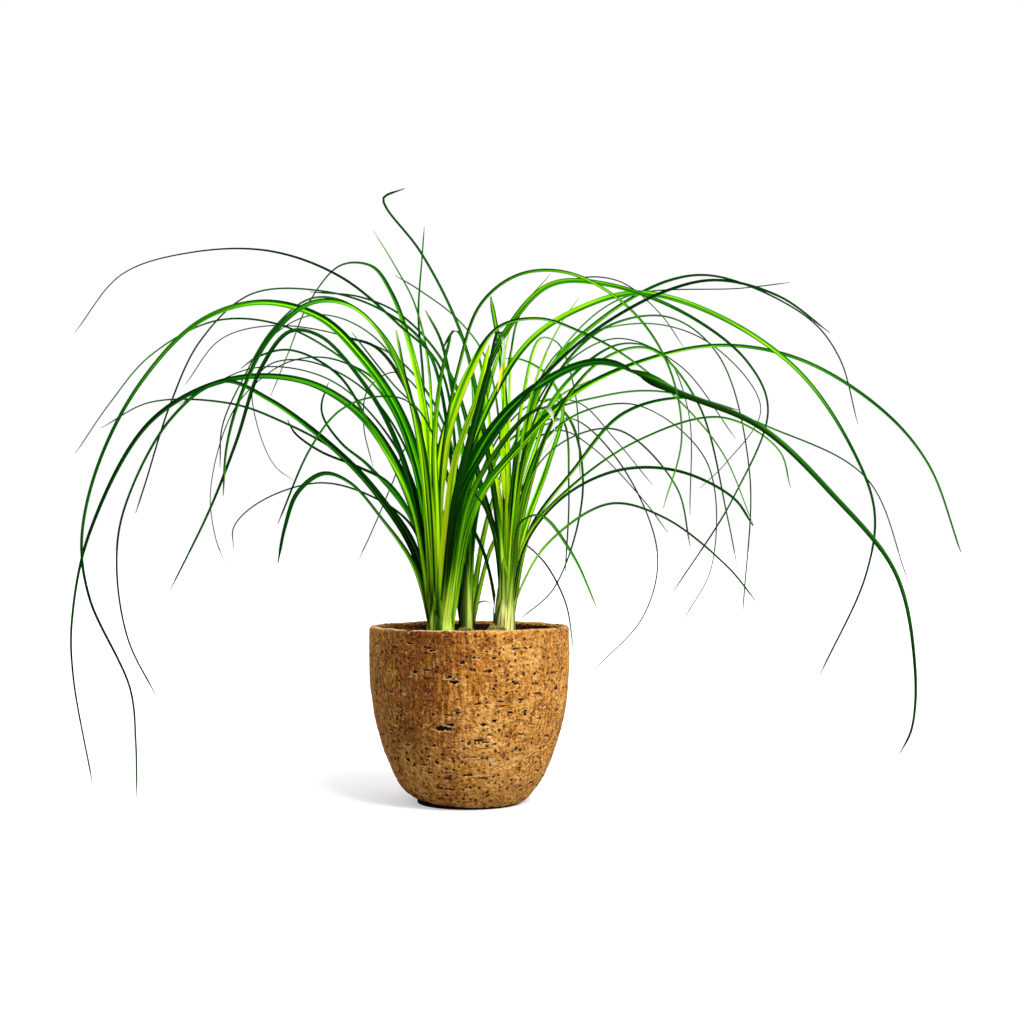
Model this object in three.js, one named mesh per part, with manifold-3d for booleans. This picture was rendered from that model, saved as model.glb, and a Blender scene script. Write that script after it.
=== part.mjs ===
// Potted ponytail palm: three young palms in one rough clay pot, filled with soil.
// Millimetres, +Z up. The origin is the centre of the pot's flat foot, the front of the plant looks along -Y.
import * as THREE from "three";
import { mergeVertices } from "three/addons/utils/BufferGeometryUtils.js";
import Module from "manifold-3d";

// Pot
const RIM_RADIUS = 85;
const POT_HEIGHT = 150;
const FOOT_RADIUS = 45;
const WALL = 6.5;
const FLOOR = 9;
const POT_SIDES = 40;
const OUTLINE_STEPS = 12;
// Soil
const SOIL_TOP = 137;
const SOIL_MOUND = 2.5; // how much higher the soil stands in the middle
const GAP = 0.3; // between pieces that touch
// Bulbs
const BULB_SIDES = 18;
// Leaves
const KEEL = 0.16; // depth of a blade's keel as a share of its width
const LEAST_KEEL = 0.8;
const SEGMENT = 34; // length of blade between two rings
const TAPER = 1.35; // above 1, a blade keeps its width longer before it runs out to its tip
const TO_FRONT = 1.5; // how far a blade that leans to one side turns its face to the front
const EYE = new THREE.Vector3(36, -1370, 223); // the routes below are drawn as seen from here

// Each palm: the place and radius of its neck, its bulb, and its leaves. A leaf is its width near the root and at
// the tip, how far its tip comes forward (-) or goes back (+), and its route as drawn on the plane through the
// pot's axis, base to tip.
const palms = {
  left: {
    neck: { x: -24, y: -18, radius: 9, top: 200 },
    bulb: { x: -24, y: -18, radius: 13, top: 144, rise: 12 },
    leaves: [
      // long arches to the left
      [12, 1.5, -40, [-38, 257], [-59, 329], [-94, 382], [-128, 414], [-178, 427], [-231, 411], [-282, 358],
        [-318, 288], [-332, 223], [-325, 173], [-290, 96], [-285, 50], [-284, 4]],
      [11, 1.6, 20, [-44, 240], [-72, 303], [-102, 338], [-145, 360], [-209, 360], [-274, 324], [-325, 230],
        [-340, 155], [-339, 108], [-322, 15]],
      [7.5, 1.4, -120, [-47, 212], [-77, 260], [-111, 297], [-171, 343], [-212, 359], [-256, 327], [-296, 249],
        [-302, 200], [-292, 138], [-268, 90]],
      [4, 1.2, 90, [-47, 283], [-74, 346], [-111, 380], [-164, 408], [-218, 411], [-274, 381], [-308, 341],
        [-338, 297]],
      [4.2, 1.3, 60, [-47, 219], [-81, 266], [-111, 297], [-162, 325], [-205, 340], [-274, 341], [-316, 319]],
      [3, 1.2, 130, [-49, 274], [-98, 345], [-137, 367], [-188, 370], [-250, 339]],
      // arches that come down half way out
      [14, 1.8, -180, [-42, 300], [-56, 360], [-81, 407], [-107, 426], [-137, 426], [-171, 397], [-196, 347],
        [-208, 303], [-211, 261]],
      [4.5, 1.7, 150, [-44, 317], [-68, 390], [-107, 427], [-137, 430], [-169, 404], [-193, 364], [-212, 321],
        [-214, 285]],
      [12, 1.3, -190, [-47, 257], [-66, 315], [-91, 358], [-128, 398], [-154, 402], [-179, 370], [-200, 307],
        [-222, 250], [-256, 180]],
      [3.6, 1.2, 230, [-42, 309], [-68, 382], [-102, 410], [-135, 416], [-167, 400], [-192, 364]],
      [8.5, 1.7, -150, [-51, 257], [-81, 313], [-113, 365], [-154, 386], [-182, 380], [-196, 370]],
      [3, 1.2, 220, [-47, 283], [-77, 356], [-107, 375], [-134, 380], [-164, 372], [-201, 337], [-222, 268],
        [-218, 226], [-209, 202]],
      [13, 1.4, 190, [-38, 326], [-52, 393], [-67, 435], [-84, 458], [-111, 459], [-137, 429], [-156, 383],
        [-171, 346]],
      [2.8, 1.2, 200, [-44, 274], [-85, 347], [-137, 376], [-171, 374], [-186, 356], [-182, 320], [-167, 286],
        [-151, 274]],
      // short and low to the left
      [8.5, 2.6, -130, [-46, 198], [-75, 242], [-102, 272], [-125, 280], [-147, 264], [-158, 234], [-164, 203]],
      [3.2, 1.2, 70, [-38, 206], [-51, 237], [-83, 260], [-128, 272], [-179, 256], [-202, 234], [-202, 216]],
      [7.5, 1.8, 60, [-42, 223], [-69, 271], [-94, 285], [-128, 299], [-150, 315], [-156, 326]],
      [8, 1.6, 210, [-44, 231], [-86, 286], [-109, 305], [-125, 327], [-127, 339], [-121, 358]],
      [3.6, 1.3, -200, [-38, 300], [-51, 341], [-80, 346], [-111, 334], [-136, 302], [-164, 237]],
      // upright
      [5, 1.1, 110, [-32, 257], [-35, 371], [-47, 425], [-64, 458], [-83, 489]],
      [4.5, 1.3, 160, [-36, 257], [-40, 363], [-44, 417], [-41, 464], [-39, 492]],
      [10, 2.2, -80, [-29, 257], [-30, 309], [-25, 360], [-15, 403]],
      [10, 3.5, -90, [-34, 257], [-42, 317], [-55, 364], [-63, 403]],
      [13.5, 3.5, -130, [-14, 283], [-4, 317], [6, 343], [17, 390]],
      [8, 3.5, -240, [-12, 257], [3, 317], [15, 363], [25, 403], [29, 394], [28, 372], [24, 350]],
      // to the right, across the front
      [7, 1.3, -190, [-25, 283], [-9, 373], [10, 426], [43, 451], [86, 452], [137, 422], [170, 374], [182, 311],
        [166, 250]],
      [8.5, 1.3, -50, [-15, 279], [6, 343], [30, 400], [69, 442], [120, 442], [189, 415], [239, 375], [256, 335],
        [226, 259], [174, 178]],
      [9, 1.9, -25, [-12, 257], [18, 341], [52, 394], [95, 422], [146, 435], [214, 415], [283, 367], [330, 297],
        [347, 246], [339, 192], [300, 108]],
      [8, 2.1, 10, [5, 253], [43, 304], [90, 349], [146, 376], [214, 390], [283, 378], [352, 336], [393, 288],
        [421, 212]],
      [15, 2.1, -130, [-8, 257], [18, 315], [60, 356], [112, 376], [180, 349], [249, 320], [311, 262],
        [365, 194], [381, 113], [378, 62], [368, 41]],
      [11, 1.6, -220, [-10, 251], [14, 301], [62, 362], [112, 406], [172, 438], [214, 446], [266, 432], [309, 401]],
      [16.5, 1.5, -60, [-29, 249], [-25, 283], [-19, 317], [0, 367], [24, 405], [60, 413], [99, 400], [129, 384],
        [172, 350], [216, 299], [243, 236]],
      [9.5, 4.5, -200, [0, 257], [26, 303], [52, 332], [66, 337], [73, 314], [60, 293]],
    ],
  },
  middle: {
    neck: { x: -3, y: 20, radius: 5.5, top: 200 },
    bulb: { x: -3.5, y: 20, radius: 9, top: 149, rise: 12 },
    leaves: [
      [4.2, 1.2, 70, [-8, 231], [-25, 370], [-60, 407], [-111, 449], [-171, 471], [-239, 470], [-299, 451],
        [-339, 401]],
      [3.4, 1.8, 110, [-12, 257], [-36, 386], [-75, 420], [-128, 437], [-188, 434], [-231, 394], [-256, 341],
        [-278, 271], [-286, 246]],
      [3, 1.2, 170, [-17, 309], [-60, 377], [-111, 399], [-171, 407], [-214, 395], [-244, 356]],
      [3, 1.3, 170, [-12, 274], [-38, 343], [-64, 367], [-87, 353], [-91, 322], [-83, 286]],
      [3, 1.3, 210, [-15, 257], [-34, 304], [-53, 304], [-65, 275], [-84, 230], [-96, 204]],
      [4, 1.2, 220, [9, 257], [35, 309], [65, 322], [89, 327], [131, 286], [161, 212], [149, 158], [107, 112]],
      [3, 1.3, 190, [7, 249], [43, 300], [78, 317], [106, 302], [151, 255], [170, 229]],
      [3, 1.3, 220, [11, 283], [52, 339], [93, 341], [125, 309], [157, 270]],
      [8.5, 3, 130, [2, 240], [7, 300], [16, 352], [26, 386]],
      [8, 2.5, 34, [-12, 196], [-22, 236], [-36, 296], [-54, 352], [-80, 388], [-112, 398]],
      [5.5, 2, 50, [17, 212], [26, 231], [38, 256], [56, 284]],
      [7, 2.5, 200, [-3, 240], [-6, 300], [-15, 352], [-25, 395], [-38, 420]],
      [6.5, 2.5, 240, [0, 240], [4, 317], [0, 377], [-12, 403], [-24, 386]],
      [6, 2, 200, [13, 231], [26, 274], [45, 317], [67, 343], [86, 339]],
      // a young shoot at the foot
      [2.4, 1.5, 25, [5, 158], [5, 166], [9, 170], [14, 171], [20, 168]],
    ],
  },
  right: {
    neck: { x: 29.5, y: -1, radius: 7.5, top: 204 },
    bulb: { x: 26, y: 1, radius: 13.5, top: 153, rise: 16 },
    leaves: [
      // up and to the left, behind the left palm
      [6, 2, 70, [26, 223], [9, 334], [-8, 402], [-42, 470], [-72, 509], [-74, 517], [-56, 525]],
      [6, 1.9, 140, [24, 219], [12, 260], [-15, 362], [-55, 413], [-92, 431], [-137, 436]],
      [3.2, 1.3, 100, [29, 274], [15, 376], [-10, 412], [-44, 438], [-64, 450]],
      [3.8, 1.4, 20, [13, 210], [-10, 257], [-39, 328], [-66, 357], [-101, 401]],
      [5.5, 2, 60, [25, 206], [19, 240], [7, 283], [0, 317]],
      [4.5, 1.7, -40, [27, 202], [21, 231], [9, 257], [-6, 274]],
      // upright
      [8.5, 2.5, -60, [36, 240], [43, 300], [54, 352], [67, 386]],
      [7.5, 1.2, 62, [31, 240], [28, 309], [31, 360], [39, 403]],
      [6.5, 2.2, 120, [28, 240], [19, 300], [15, 343], [7, 386]],
      [6, 2.2, 130, [42, 249], [56, 300], [74, 343], [103, 360]],
      [8.5, 4, 170, [33, 240], [28, 369], [18, 432]],
      [7.5, 2, 110, [45, 225], [68, 290], [80, 335], [72, 357], [60, 370], [43, 378], [28, 379]],
      [3, 1.3, 60, [32, 274], [35, 405], [69, 451]],
      [3, 1.3, 90, [39, 274], [57, 361], [78, 408], [94, 431]],
      // high arches to the right
      [6.5, 1.3, 50, [43, 274], [65, 363], [112, 412], [172, 446], [214, 449], [290, 414], [317, 380], [333, 322]],
      [3, 1.2, 140, [43, 300], [73, 377], [112, 420], [146, 435], [232, 439], [275, 444]],
      [3.4, 1.4, 220, [33, 300], [46, 422], [90, 447], [129, 445], [164, 417], [184, 388]],
      [6.2, 1.2, 200, [35, 240], [46, 346], [61, 396], [75, 393], [90, 352], [95, 276]],
      [6, 1.4, 200, [43, 274], [78, 352], [129, 391], [167, 382], [188, 333], [189, 244]],
      [8.5, 1, -75, [45, 244], [74, 330], [116, 379], [155, 387], [196, 340], [221, 242], [229, 201]],
      [3, 1.3, 200, [39, 283], [73, 364], [125, 396], [180, 373], [228, 310]],
      [3.4, 1.4, 120, [43, 283], [78, 369], [120, 407], [172, 414], [214, 381], [240, 282], [234, 161]],
      [3, 1.2, 240, [42, 300], [78, 386], [148, 409], [206, 392], [250, 336], [220, 289], [197, 267]],
      // wide and low to the right
      [6.2, 1.8, -30, [52, 231], [89, 283], [131, 331], [183, 345], [232, 334]],
      [3, 1.2, 40, [39, 257], [60, 326], [112, 346], [167, 350], [256, 320], [340, 276], [376, 187]],
      [3, 1.3, 230, [42, 249], [65, 309], [100, 334], [147, 338], [203, 291], [208, 202], [183, 154]],
      [3.5, 1.6, -50, [48, 223], [84, 266], [146, 309], [216, 328], [265, 300], [275, 268]],
      [3.2, 1.4, -190, [54, 280], [89, 312], [129, 317], [177, 269], [189, 218]],
      [3.2, 2.6, -140, [48, 219], [82, 261], [129, 283], [179, 282], [226, 259], [243, 235]],
      [2.6, 1.9, -40, [43, 180], [67, 220], [120, 254], [167, 242], [220, 201], [245, 171]],
      [3.4, 1.5, 240, [39, 257], [60, 322], [79, 326], [85, 265], [82, 196]],
      [4.6, 1.2, 270, [43, 283], [69, 339], [86, 326], [97, 265], [73, 183], [43, 155]],
      [4.8, 1.5, -140, [39, 206], [44, 239], [61, 244], [88, 211], [109, 165]],
      [5.5, 1.2, 130, [36, 197], [41, 222], [61, 208], [82, 170], [89, 129]],
    ],
  },
};

const clay = new THREE.MeshStandardMaterial({ color: 0xb07a3c, roughness: 0.9 });
const earth = new THREE.MeshStandardMaterial({ color: 0x33241a, roughness: 1 });
const bark = new THREE.MeshStandardMaterial({ color: 0x8a7a4a, roughness: 0.85 });
const green = new THREE.MeshStandardMaterial({ color: 0x3f8a1e, roughness: 0.45 });

const wasm = await Module();
wasm.setup();

function solidOf(geometry) {
  geometry.deleteAttribute("normal");
  geometry.deleteAttribute("uv");
  const merged = mergeVertices(geometry, 1e-4);
  return new wasm.Manifold(
    new wasm.Mesh({
      numProp: 3,
      vertProperties: merged.attributes.position.array,
      triVerts: new Uint32Array(merged.index.array),
    }),
  );
}

function meshOf(name, solid, material) {
  const { vertProperties, triVerts } = solid.getMesh();
  const geometry = new THREE.BufferGeometry()
    .setAttribute("position", new THREE.BufferAttribute(vertProperties, 3))
    .setIndex(new THREE.BufferAttribute(triVerts, 1));
  geometry.computeVertexNormals();
  const mesh = new THREE.Mesh(geometry, material);
  mesh.name = name;
  return mesh;
}

// A solid turned about the vertical line through x, y, from [radius, height] pairs, bottom to top.
function turned(profile, sides, x = 0, y = 0) {
  const points = profile.map(([radius, height]) => new THREE.Vector2(radius, height));
  return solidOf(new THREE.LatheGeometry(points, sides).rotateX(Math.PI / 2).translate(x, y, 0));
}

function rod(radius, from, to, sides, x, y) {
  return turned([[0, from], [radius, from], [radius, to], [0, to]], sides, x, y);
}

// ---- pot ----
const potOutline = new THREE.SplineCurve(
  [[FOOT_RADIUS, 0], [54, 9], [66, 28], [76, 55], [82.5, 83], [RIM_RADIUS, 112], [RIM_RADIUS, POT_HEIGHT - WALL / 2]]
    .map(([radius, height]) => new THREE.Vector2(radius, height)),
);

// The outline moved inwards by a distance, from the height of the floor to the rim.
function innerOutline(distance, floor) {
  return potOutline
    .getPoints(OUTLINE_STEPS)
    .map((point, i) => {
      const along = potOutline.getTangent(i / OUTLINE_STEPS);
      return [point.x - along.y * distance, point.y + along.x * distance];
    })
    .filter(([, height]) => height > floor + 2);
}

function makePot() {
  const lip = Array.from({ length: 5 }, (_, i) => {
    const angle = ((i + 1) * Math.PI) / 6;
    return [RIM_RADIUS - WALL / 2 + (Math.cos(angle) * WALL) / 2, POT_HEIGHT + ((Math.sin(angle) - 1) * WALL) / 2];
  });
  const outside = potOutline.getPoints(OUTLINE_STEPS).map((point) => [point.x, point.y]);
  const inside = innerOutline(WALL, FLOOR).reverse();
  return turned([[0, 0], ...outside, ...lip, ...inside, [inside.at(-1)[0] - 4, FLOOR], [0, FLOOR]], POT_SIDES);
}

// ---- soil ----
function makeSoil() {
  const side = innerOutline(WALL + GAP, FLOOR).filter(([, height]) => height < SOIL_TOP - 4);
  const edge = RIM_RADIUS - WALL - GAP;
  const bed = turned(
    [[0, FLOOR + GAP], [side[0][0] - 4, FLOOR + GAP], ...side, [edge, SOIL_TOP],
      [edge * 0.6, SOIL_TOP + SOIL_MOUND * 0.7], [0, SOIL_TOP + SOIL_MOUND]],
    POT_SIDES,
  );
  return Object.values(palms).reduce((soil, { bulb }) => {
    const hole = rod(bulb.radius + GAP, bulb.top - bulb.rise * 3 - GAP, POT_HEIGHT, BULB_SIDES, bulb.x, bulb.y);
    return soil.subtract(hole);
  }, bed);
}

// ---- bulbs ----
// A swollen foot with rings of old leaf bases, and a plain socket in its top for the neck.
function makeBulb({ bulb, neck }) {
  const middle = bulb.top - bulb.rise;
  const rings = 9;
  const rise = Array.from({ length: rings }, (_, i) => {
    const angle = (i / rings) * (Math.PI / 2);
    const ring = i % 2 ? 0.4 : 0;
    return [bulb.radius * Math.cos(angle) - ring, middle + bulb.rise * Math.sin(angle)];
  });
  const root = [[0, middle - bulb.rise * 2], [bulb.radius * 0.6, middle - bulb.rise * 1.8],
    [bulb.radius * 0.9, middle - bulb.rise]];
  const body = turned([...root, ...rise, [0, bulb.top]], BULB_SIDES, bulb.x, bulb.y);
  return body.subtract(rod(neck.radius + GAP, neckFoot({ bulb }) - GAP, bulb.top + 1, BULB_SIDES, neck.x, neck.y));
}

function neckFoot({ bulb }) {
  return bulb.top - 6;
}

// ---- leaves ----
const smooth = (share) => share * share * (3 - 2 * share);

// A point of the front view, carried along the line of sight to its own depth.
function atDepth(x, z, y) {
  const reach = (y - EYE.y) / -EYE.y;
  return new THREE.Vector3(EYE.x + (x - EYE.x) * reach, y, EYE.z + (z - EYE.z) * reach);
}

function frontView(point) {
  const reach = (point.y - EYE.y) / -EYE.y;
  return new THREE.Vector3(EYE.x + (point.x - EYE.x) / reach, 0, EYE.z + (point.z - EYE.z) / reach);
}

function leafLine(palm, [, , depth, ...route]) {
  const { neck, bulb } = palm;
  const [tipX] = route.at(-1);
  const heading = new THREE.Vector2(tipX - neck.x, depth).normalize();
  const lean = Math.min(1, Math.abs(route[0][0] - neck.x) / 25);
  const root = new THREE.Vector3(
    neck.x + heading.x * neck.radius * 0.6 * lean,
    neck.y + heading.y * neck.radius * 0.6 * lean,
    Math.min(bulb.top + 6 + 12 * (1 - lean), route[0][1] - 8),
  );
  const drawn = [frontView(root), ...route.map(([x, z]) => new THREE.Vector3(x, 0, z))];
  const curve = new THREE.CatmullRomCurve3(drawn, false, "centripetal");
  const rings = Math.max(7, Math.round(curve.getLength() / SEGMENT));
  const points = Array.from({ length: rings + 1 }, (_, i) => {
    const { x, z } = curve.getPointAt(i / rings);
    return atDepth(x, z, root.y + (depth + neck.y - root.y) * smooth(i / rings));
  });
  return { points, heading };
}

// Broadest near the root, drawn in to a fine tip; the root is the sheath round the neck.
function leafWidth([width, tip], share) {
  const sheath = Math.max(width * 0.8, 4.5) * (1 - smooth(Math.min(1, share / 0.3)));
  const blade = width * (tip / width) ** (Math.max(0, (share - 0.1) / 0.9) ** TAPER);
  return Math.max(sheath, blade);
}

// A blade is three-sided: two edges and a keel. Its upper side faces the neck at the root and the sky at the top.
function makeLeaf(palm, leaf) {
  const { points, heading } = leafLine(palm, leaf);
  const across = new THREE.Vector3(heading.y, -heading.x, 0);
  const toFront = new THREE.Vector3(0, -TO_FRONT * Math.abs(heading.x), 0);
  const last = points.length - 1;
  const vertices = [];
  points.forEach((point, i) => {
    const along = points[Math.min(i + 1, last)].clone().sub(points[Math.max(i - 1, 0)]).normalize();
    const face = across.clone().cross(along).normalize().add(toFront);
    face.addScaledVector(along, -face.dot(along)).normalize();
    const side = along.clone().cross(face);
    const width = leafWidth(leaf, i / last);
    const edge = side.multiplyScalar(width / 2);
    const keel = face.multiplyScalar(-Math.max(LEAST_KEEL, width * KEEL));
    for (const corner of [point.clone().add(edge), point.clone().sub(edge), point.clone().add(keel)])
      vertices.push(...corner.toArray());
  });
  const faces = [0, 1, 2, 3 * last + 2, 3 * last + 1, 3 * last];
  for (let i = 0; i < last; i++)
    for (let j = 0; j < 3; j++) {
      const [a, b] = [3 * i + j, 3 * i + ((j + 1) % 3)];
      faces.push(a, a + 3, b, b, a + 3, b + 3);
    }
  const geometry = new THREE.BufferGeometry()
    .setAttribute("position", new THREE.BufferAttribute(new Float32Array(vertices), 3))
    .setIndex(faces);
  return solidOf(geometry);
}

// The neck is the rolled sheaths of all the leaves, which the blades stand out of.
function makeFoliage(palm) {
  const { neck, leaves } = palm;
  const foot = neckFoot(palm);
  const core = turned(
    [[0, foot], [neck.radius, foot], [neck.radius, palm.bulb.top + 4], [neck.radius * 0.8, palm.bulb.top + 26],
      [neck.radius * 0.4, neck.top], [0, neck.top + 4]],
    12, neck.x, neck.y,
  );
  const whole = leaves.reduce((solid, leaf) => solid.add(makeLeaf(palm, leaf)), core);
  const [largest] = whole.decompose().sort((a, b) => b.volume() - a.volume());
  return largest;
}

const plant = new THREE.Group();
plant.add(meshOf("pot", makePot(), clay));
plant.add(meshOf("soil", makeSoil(), earth));
for (const [side, palm] of Object.entries(palms)) {
  plant.add(meshOf(`${side}_bulb`, makeBulb(palm), bark));
  plant.add(meshOf(`${side}_leaves`, makeFoliage(palm), green));
}

export default plant;
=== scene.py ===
# Potted ponytail palm: three young palms in one rough clay pot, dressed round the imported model.
# Metres, +Z up, the front of the plant looks along -Y. Lists of shape points are in millimetres.
import math

import bpy
import numpy as np
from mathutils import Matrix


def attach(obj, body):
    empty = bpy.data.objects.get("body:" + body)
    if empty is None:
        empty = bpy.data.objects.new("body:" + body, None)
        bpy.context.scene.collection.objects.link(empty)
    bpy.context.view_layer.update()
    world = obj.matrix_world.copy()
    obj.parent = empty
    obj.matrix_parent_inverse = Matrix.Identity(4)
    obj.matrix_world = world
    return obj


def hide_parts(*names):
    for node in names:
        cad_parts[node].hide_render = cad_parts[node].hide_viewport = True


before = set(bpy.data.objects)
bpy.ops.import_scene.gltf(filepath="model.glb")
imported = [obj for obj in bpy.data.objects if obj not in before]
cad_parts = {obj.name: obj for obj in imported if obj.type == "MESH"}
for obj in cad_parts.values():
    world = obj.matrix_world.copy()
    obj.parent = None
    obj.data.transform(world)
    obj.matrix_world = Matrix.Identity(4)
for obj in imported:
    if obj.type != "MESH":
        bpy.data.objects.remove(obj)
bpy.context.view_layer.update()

mm = 0.001
scene = bpy.context.scene

camera = {"eye": (36.4, -1370, 223), "tiltUp": 1.0, "lens": 56.25, "sensor": 36}


def newObject(name, data):
    obj = bpy.data.objects.new(name, data)
    scene.collection.objects.link(obj)
    return obj


def placeCamera():
    data = bpy.data.cameras.new("camera")
    data.lens = camera["lens"]
    data.sensor_width = camera["sensor"]
    scene.camera = newObject("camera", data)
    scene.camera.location = [value * mm for value in camera["eye"]]
    scene.camera.rotation_euler = (math.radians(90 + camera["tiltUp"]), 0, 0)
    print("camera at", camera["eye"], "with a lens of", camera["lens"])


placeCamera()


def smooth(share):
    share = np.clip(share, 0, 1)
    return share * share * (3 - 2 * share)


def unit(vectors):
    return vectors / np.maximum(np.linalg.norm(vectors, axis=-1, keepdims=True), 1e-12)


def ripple(points, wavelength, seed, waves=20):  # smooth noise about zero, from waves in seeded directions
    draw = np.random.default_rng(seed)
    directions = unit(draw.normal(size=(waves, 3)))
    turns = directions * (math.tau / (wavelength * draw.uniform(0.6, 1.7, waves)))[:, None]
    return np.sin(points @ turns.T + draw.uniform(0, math.tau, waves)).sum(-1) * math.sqrt(2 / waves)


def ringAngles(columns):
    return np.arange(columns) * math.tau / columns


def turned(radius, height, angles):  # points on rings round the vertical axis, a row for each ring
    across = np.ones(len(angles))
    return np.stack([radius * np.cos(angles), radius * np.sin(angles), height * across], -1)


def arc(start, end, leave, arrive, t):  # a cubic with its directions at both ends
    return (start + leave * t + (3 * end - 3 * start - 2 * leave - arrive) * t**2
            + (2 * start - 2 * end + leave + arrive) * t**3)


def tubeFaces(rows, columns):  # quads between rings of points, and a face over each end
    row, column = np.meshgrid(np.arange(rows - 1), np.arange(columns), indexing="ij")
    following = (column + 1) % columns
    corners = [row * columns + column, row * columns + following,
               (row + 1) * columns + following, (row + 1) * columns + column]
    last = (rows - 1) * columns
    ends = [list(range(columns))[::-1], list(range(last, last + columns))]
    return np.stack(corners, -1).reshape(-1, 4).tolist() + ends


def makePiece(name, points, faces, attributes, material, sharpOver=50):
    mesh = bpy.data.meshes.new(name)
    mesh.from_pydata(np.asarray(points).tolist(), [], faces)
    mesh.polygons.foreach_set("use_smooth", [True] * len(mesh.polygons))
    mesh.set_sharp_from_angle(angle=math.radians(sharpOver))
    for key, values in attributes.items():
        mesh.attributes.new(key, "FLOAT", "POINT").data.foreach_set("value", np.asarray(values, np.float32))
    mesh.materials.append(material)
    return newObject(name, mesh)


def dress(piece, slot, *nodes):
    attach(piece, "root")
    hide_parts(*nodes)
    print(piece.name, len(piece.data.vertices), "points")


def addNode(tree, kind, inputs=None, **settings):
    node = tree.nodes.new(kind)
    for key, value in settings.items():
        setattr(node, key, value)
    for key, value in (inputs or {}).items():
        socket = node.inputs[key]
        if isinstance(value, bpy.types.NodeSocket):
            tree.links.new(value, socket)
        else:
            socket.default_value = (*value[:3], 1) if socket.type == "RGBA" else value
    return node


def calc(tree, operation, *values, clamp=False):
    inputs = dict(enumerate(values))
    return addNode(tree, "ShaderNodeMath", inputs, operation=operation, use_clamp=clamp).outputs[0]


def times(tree, first, second):
    return calc(tree, "MULTIPLY", first, second)


def centred(tree, value):
    return calc(tree, "SUBTRACT", value, 0.5)


def weighted(tree, *pairs):  # the sum of values, each times its weight
    total, *others = (times(tree, value, weight) for value, weight in pairs)
    for other in others:
        total = calc(tree, "ADD", total, other)
    return total


def contrasted(tree, value, contrast):  # drawn out about its middle, and kept from 0 to 1
    return calc(tree, "ADD", times(tree, centred(tree, value), contrast), 0.5, clamp=True)


def spread(tree, value, low, high, toLow=0.0, toHigh=1.0, kind="SMOOTHSTEP"):
    inputs = {"Value": value, "From Min": low, "From Max": high, "To Min": toLow, "To Max": toHigh}
    return addNode(tree, "ShaderNodeMapRange", inputs, interpolation_type=kind).outputs["Result"]


def blendColours(tree, share, first, second, how="MIX"):
    inputs = {0: share, 6: first, 7: second}
    return addNode(tree, "ShaderNodeMix", inputs, data_type="RGBA", blend_type=how).outputs[2]


def layered(tree, colour, *layers):  # colours laid over it in turn, each with its share
    for share, over in layers:
        colour = blendColours(tree, share, colour, over)
    return colour


def colourRamp(tree, value, stops):
    node = addNode(tree, "ShaderNodeValToRGB", {"Fac": value})
    ramp = node.color_ramp
    while len(ramp.elements) < len(stops):
        ramp.elements.new(0.5)
    for element, (position, colour) in zip(ramp.elements, stops):
        element.position = position
        element.color = (*colour, 1)
    return node.outputs["Color"]


def attribute(tree, name):
    return addNode(tree, "ShaderNodeAttribute", attribute_name=name).outputs["Fac"]


def newGroup(name, inputs, outputs):
    group = bpy.data.node_groups.new(name, "ShaderNodeTree")
    for label, (kind, value) in inputs.items():
        socket = group.interface.new_socket(label, in_out="INPUT", socket_type="NodeSocket" + kind)
        socket.default_value = value
    for label in outputs:
        group.interface.new_socket(label, in_out="OUTPUT", socket_type="NodeSocketFloat")
    return group, group.nodes.new("NodeGroupInput").outputs, group.nodes.new("NodeGroupOutput").inputs


def useGroup(tree, group, **inputs):  # each group here gives one value
    return addNode(tree, "ShaderNodeGroup", inputs, node_tree=group).outputs[0]


def ownPlace(tree):  # the surface's own place, in metres
    return addNode(tree, "ShaderNodeTexCoord").outputs["Object"]


def calcVector(tree, operation, first, second):
    return addNode(tree, "ShaderNodeVectorMath", {0: first, 1: second}, operation=operation).outputs[0]


def stretched(tree, given):
    return calcVector(tree, "MULTIPLY", ownPlace(tree), given["Stretch"])


def mottleGroup():  # cloudy variation about 0.5
    tree, given, wanted = newGroup("mottle", {
        "Stretch": ("Vector", (1, 1, 1)), "Scale": ("Float", 40), "Detail": ("Float", 4),
        "Contrast": ("Float", 1.5)}, ["Value"])
    noise = addNode(tree, "ShaderNodeTexNoise",
                    {"Vector": stretched(tree, given), "Scale": given["Scale"], "Detail": given["Detail"]})
    tree.links.new(contrasted(tree, noise.outputs["Fac"], given["Contrast"]), wanted["Value"])
    return tree


def speckGroup():  # scattered round specks of varied size: pits in clay, pale crumbs in soil
    tree, given, wanted = newGroup("specks", {
        "Stretch": ("Vector", (1, 1, 1)), "Scale": ("Float", 300), "Share": ("Float", 0.3),
        "Size": ("Float", 0.3)}, ["Mask"])
    place = stretched(tree, given)
    wobble = addNode(tree, "ShaderNodeTexNoise", {"Vector": place, "Scale": given["Scale"], "Detail": 3.0})
    offset = calcVector(tree, "MULTIPLY", wobble.outputs["Color"], (2.2 * mm,) * 3)  # for ragged edges
    place = calcVector(tree, "ADD", place, offset)
    cells = addNode(tree, "ShaderNodeTexVoronoi", {"Vector": place, "Scale": given["Scale"]})
    chance = addNode(tree, "ShaderNodeSeparateColor", {"Color": cells.outputs["Color"]})
    chosen = calc(tree, "LESS_THAN", chance.outputs["Red"], given["Share"])
    radius = times(tree, given["Size"], calc(tree, "ADD", chance.outputs["Green"], 0.35))
    edge = calc(tree, "SUBTRACT", 1.0, calc(tree, "DIVIDE", cells.outputs["Distance"], radius), clamp=True)
    mask = times(tree, chosen, spread(tree, edge, 0.0, 0.45))
    tree.links.new(mask, wanted["Mask"])
    return tree


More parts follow.
